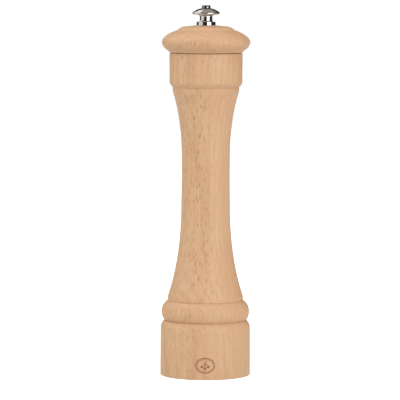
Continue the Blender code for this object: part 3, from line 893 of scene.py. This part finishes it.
def make_floor():
    """A wide pale floor. It is clear from below, so that the foot can be looked at."""
    radius, z, steps = 2600.0, -0.05, 128
    mesh = bpy.data.meshes.new("floor")
    mesh.from_pydata((ring(radius, z, steps) * MM).tolist(), [], [range(steps)])
    floor = link("floor", mesh)
    g = Graph("floor_white")
    place = g.add("ShaderNodeTexCoord", out="Object")
    grain = g.noise(place, (40.0, 40.0, 40.0), 3.0)
    g.put(g.shader.inputs["Base Color"], g.mix(grain, (0.35, 0.35, 0.35, 1), (0.37, 0.37, 0.37, 1)))
    g.shader.inputs["Roughness"].default_value = 0.9
    g.shader.inputs["Specular IOR Level"].default_value = 0.0
    g.shader.inputs["Emission Color"].default_value = (1.0, 1.0, 1.0, 1.0)
    seen = g.add("ShaderNodeLightPath", out="Is Camera Ray")
    g.put(g.shader.inputs["Emission Strength"], g.ramp(seen, 0.0, 1.0, 0.34, 1.1))
    back = g.add("ShaderNodeNewGeometry", out="Backfacing")
    clear = g.add("ShaderNodeBsdfTransparent")
    mixed = g.add("ShaderNodeMixShader", {0: back, 1: g.shader.outputs[0], 2: clear})
    g.put(g.tree.nodes["Material Output"].inputs["Surface"], mixed)
    floor.data.materials.append(g.material)


def area_light(name, azimuth_deg, elevation_deg, size, power, glossy=True):
    """A soft box. Azimuth 0 is towards the camera and 90 is to the camera's right."""
    distance, aim = 1.7, Vector((0.0, 0.0, 0.11))
    data = bpy.data.lights.new(name, "AREA")
    data.shape = "RECTANGLE"
    data.size, data.size_y = size
    data.energy = power
    light = bpy.data.objects.new(name, data)
    bpy.context.scene.collection.objects.link(light)
    azimuth, elevation = math.radians(azimuth_deg), math.radians(elevation_deg)
    level = math.cos(elevation)
    away = Vector((math.sin(azimuth) * level, -math.cos(azimuth) * level, math.sin(elevation)))
    light.location = aim + away * distance
    light.rotation_euler = away.to_track_quat("Z", "Y").to_euler()
    light.visible_glossy = glossy


def make_lights():
    area_light("key_softbox", 38.0, 2.0, (1.35, 1.4), 16.0)
    area_light("fill_softbox", -66.0, 12.0, (1.2, 1.5), 5.3, glossy=False)
    area_light("rim_softbox", -118.0, 40.0, (1.7, 1.7), 7.5)
    area_light("top_softbox", 0.0, 76.0, (1.6, 1.4), 7.0, glossy=False)


# how bright the room is in the metal's reflections, by azimuth in degrees
ROOM_BANDS = [
    (-180, 0.8), (-174, 0.7), (-164, 0.03), (-108, 0.03), (-96, 0.85), (-48, 0.85), (-36, 0.015),
    (8, 0.01), (18, 0.5), (60, 0.5), (73, 0.02), (128, 0.03), (164, 0.05), (176, 0.7),
]


def make_world():
    """White behind the object, soft light all round, and a banded room in the reflections."""
    world = bpy.data.worlds.new("studio")
    bpy.context.scene.world = world
    world.use_nodes = True
    tree = world.node_tree
    tree.nodes.clear()

    def add(kind, inputs=(), **settings):
        node = tree.nodes.new(kind)
        for key, value in settings.items():
            setattr(node, key, value)
        for key, value in dict(inputs).items():
            if isinstance(value, bpy.types.NodeSocket):
                tree.links.new(value, node.inputs[key])
            else:
                node.inputs[key].default_value = value
        return node

    def background(colour, strength):
        return add("ShaderNodeBackground", {"Color": colour, "Strength": strength}).outputs[0]

    def mix(factor, a, b):
        return add("ShaderNodeMixShader", {0: factor, 1: a, 2: b}).outputs[0]

    direction = add("ShaderNodeTexCoord").outputs["Generated"]
    x, y, z = add("ShaderNodeSeparateXYZ", {0: direction}).outputs
    minus_y = add("ShaderNodeMath", {0: y, 1: -1.0}, operation="MULTIPLY").outputs[0]
    azimuth = add("ShaderNodeMath", {0: x, 1: minus_y}, operation="ARCTAN2").outputs[0]
    share = add("ShaderNodeMapRange", {0: azimuth, 1: -math.pi, 2: math.pi}).outputs[0]
    bands = add("ShaderNodeValToRGB", {0: share})
    stops = bands.color_ramp.elements
    while len(stops) < len(ROOM_BANDS):
        stops.new(0.5)
    for stop, (angle, value) in zip(stops, ROOM_BANDS):
        stop.position = (angle + 180.0) / 360.0
        stop.color = (value, value, value, 1.0)

    def height(low, high):
        """A smooth step up between two heights of the direction looked in."""
        step = {0: z, 1: low, 2: high}
        return add("ShaderNodeMapRange", step, interpolation_type="SMOOTHSTEP").outputs[0]

    white = (1.0, 1.0, 1.0, 1.0)
    room = background(bands.outputs[0], 1.0)
    room = mix(height(0.26, 0.40), room, background(white, 0.03))
    room = mix(height(0.52, 0.80), room, background((1.0, 0.93, 0.85, 1.0), 0.36))
    path = add("ShaderNodeLightPath").outputs
    seen = mix(path["Is Glossy Ray"], background((1.0, 0.99, 0.98, 1.0), 0.66), room)
    seen = mix(path["Is Camera Ray"], seen, background(white, 1.0))
    add("ShaderNodeOutputWorld", {"Surface": seen})


make_body()
make_head()
make_mark()
make_knob()
make_screws()
make_plates()
make_grinder()
make_spindle()
make_washer("rotor_washer", "spindle", 5.2)
make_washer("spring_washer", "turning_washer", 5.4)
make_clip()
make_spring()
make_bridge()
make_floor()
make_lights()
make_world()
bpy.context.scene.view_settings.view_transform = "Standard"
bpy.context.view_layer.update()
